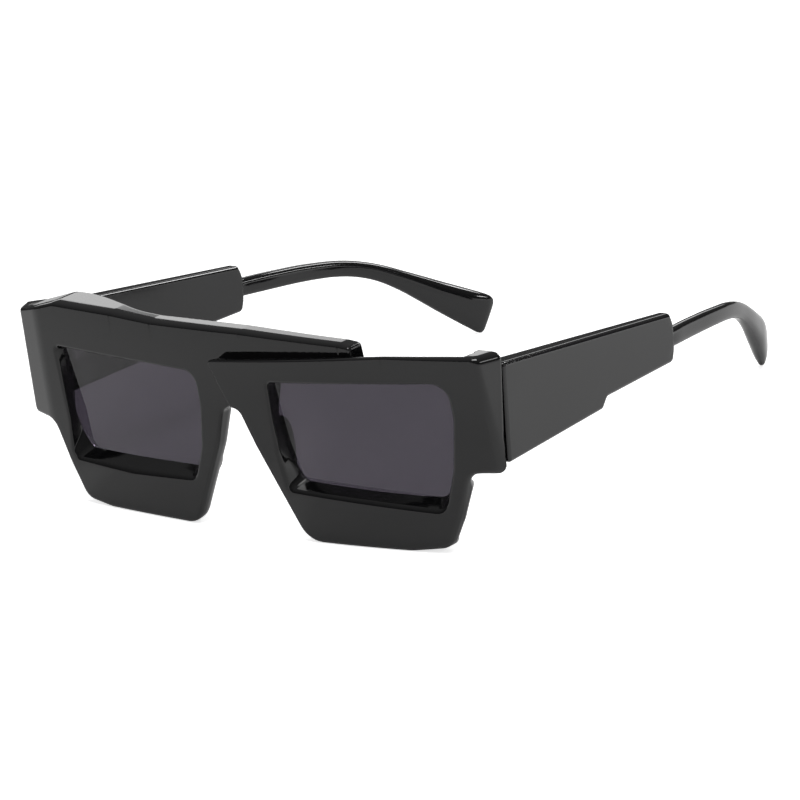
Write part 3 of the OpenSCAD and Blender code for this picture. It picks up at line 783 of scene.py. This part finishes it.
def painted_reflection_dome():
    """A glowing dome high round the set, which only polished surfaces show: it paints a dark reflection,
    brighter towards the top, and lights nothing.
    """
    bpy.ops.object.select_all(action="DESELECT")
    bpy.ops.mesh.primitive_uv_sphere_add(segments=48, ring_count=32, radius=2.6)
    dome = bpy.context.object
    dome.name = "painted_reflection_dome"
    bpy.ops.object.mode_set(mode="EDIT")
    bpy.ops.mesh.select_all(action="SELECT")
    bpy.ops.mesh.bisect(plane_co=(0, 0, 2.6 * math.sin(math.radians(0.5))), plane_no=(0, 0, 1),
                        clear_inner=True)
    bpy.ops.object.mode_set(mode="OBJECT")
    material, nodes, links, shader = node_material("painted dark reflection")
    where = nodes.new("ShaderNodeTexCoord")
    split = nodes.new("ShaderNodeSeparateXYZ")
    links.new(where.outputs["Object"], split.inputs["Vector"])
    # Painted reflection: the dome's glow rises with height, from 0.08 low down to 0.30 at the top.
    shade = nodes.new("ShaderNodeMapRange")
    shade.inputs["From Min"].default_value = 0.3
    shade.inputs["From Max"].default_value = 2.5
    shade.inputs["To Min"].default_value = 0.08
    shade.inputs["To Max"].default_value = 0.30
    links.new(split.outputs["Z"], shade.inputs["Value"])
    reflection_glow = nodes.new("ShaderNodeEmission")
    links.new(shade.outputs["Result"], reflection_glow.inputs["Strength"])
    links.new(reflection_glow.outputs[0], nodes["Material Output"].inputs["Surface"])
    finish_with(dome, material)
    # Only glossy rays meet the dome, so its glow shows only as a painted reflection and casts no light or
    # shadow.
    dome.visible_camera = dome.visible_diffuse = dome.visible_transmission = False
    dome.visible_shadow = dome.visible_volume_scatter = False
    return dome


def white_world():
    world = bpy.data.worlds.new("white studio")
    bpy.context.scene.world = world
    world.use_nodes = True
    nodes, links = world.node_tree.nodes, world.node_tree.links
    back = nodes["Background"]
    back.inputs["Color"].default_value = (1, 1, 1, 1)
    lift = nodes.new("ShaderNodeMath")
    lift.operation = "ADD"
    lift.inputs[1].default_value = 0.38
    links.new(seen_rays(nodes, links, 0.62, 0.62), lift.inputs[0])
    links.new(lift.outputs[0], back.inputs["Strength"])


def soft_lamp(name, at, target, size, power):
    lamp = bpy.data.lights.new(name, "AREA")
    lamp.shape = "RECTANGLE"
    lamp.size, lamp.size_y = size
    lamp.energy = power
    holder = bpy.data.objects.new(name, lamp)
    bpy.context.scene.collection.objects.link(holder)
    holder.location = at
    holder.rotation_euler = (Vector(target) - Vector(at)).to_track_quat("-Z", "Y").to_euler()
    return holder


def photo_camera():
    around, up, roll = map(math.radians, (40.05, 17.22, -6.56))
    distance = 1.0472
    target = Vector((0.0036, -0.0185, 0.0156))
    back = Vector((math.sin(around) * math.cos(up), -math.cos(around) * math.cos(up), math.sin(up)))
    right = Vector((math.cos(around), math.sin(around), 0))
    over = back.cross(right)
    right, over = (math.cos(roll) * right + math.sin(roll) * over,
                   -math.sin(roll) * right + math.cos(roll) * over)
    data = bpy.data.cameras.new("camera")
    data.sensor_width = 36
    data.lens = 199.07
    data.clip_start = 0.05
    data.clip_end = 50
    camera = bpy.data.objects.new("camera", data)
    bpy.context.scene.collection.objects.link(camera)
    turn = Matrix((right, over, back)).transposed().to_4x4()
    camera.matrix_world = Matrix.Translation(target + back * distance) @ turn
    bpy.context.scene.camera = camera
    return camera


white_stage()
# Painted dark reflection round the set, seen only in polished surfaces.
painted_reflection_dome()
white_world()
soft_lamp("soft box above", (0.15, -0.19, 0.70), (0, 0, 0), (0.30, 0.30), 2.4)
soft_lamp("soft box behind", (0.13, 0.66, 0.56), (0, 0, 0), (0.22, 0.20), 2.0)
soft_lamp("long soft box", (-0.80, 0.95, 0.40), (0, 0, 0.03), (1.2, 0.22), 1.5)
soft_lamp("low lamp right", (0.28, 0.22, 0.10), (0.28, 0.22, 0), (0.08, 0.08), 0.32)
soft_lamp("low lamp side", (0.22, -0.06, 0.10), (0.22, -0.06, 0), (0.06, 0.06), 0.06)
photo_camera()

scene = bpy.context.scene
scene.view_settings.view_transform = "Standard"
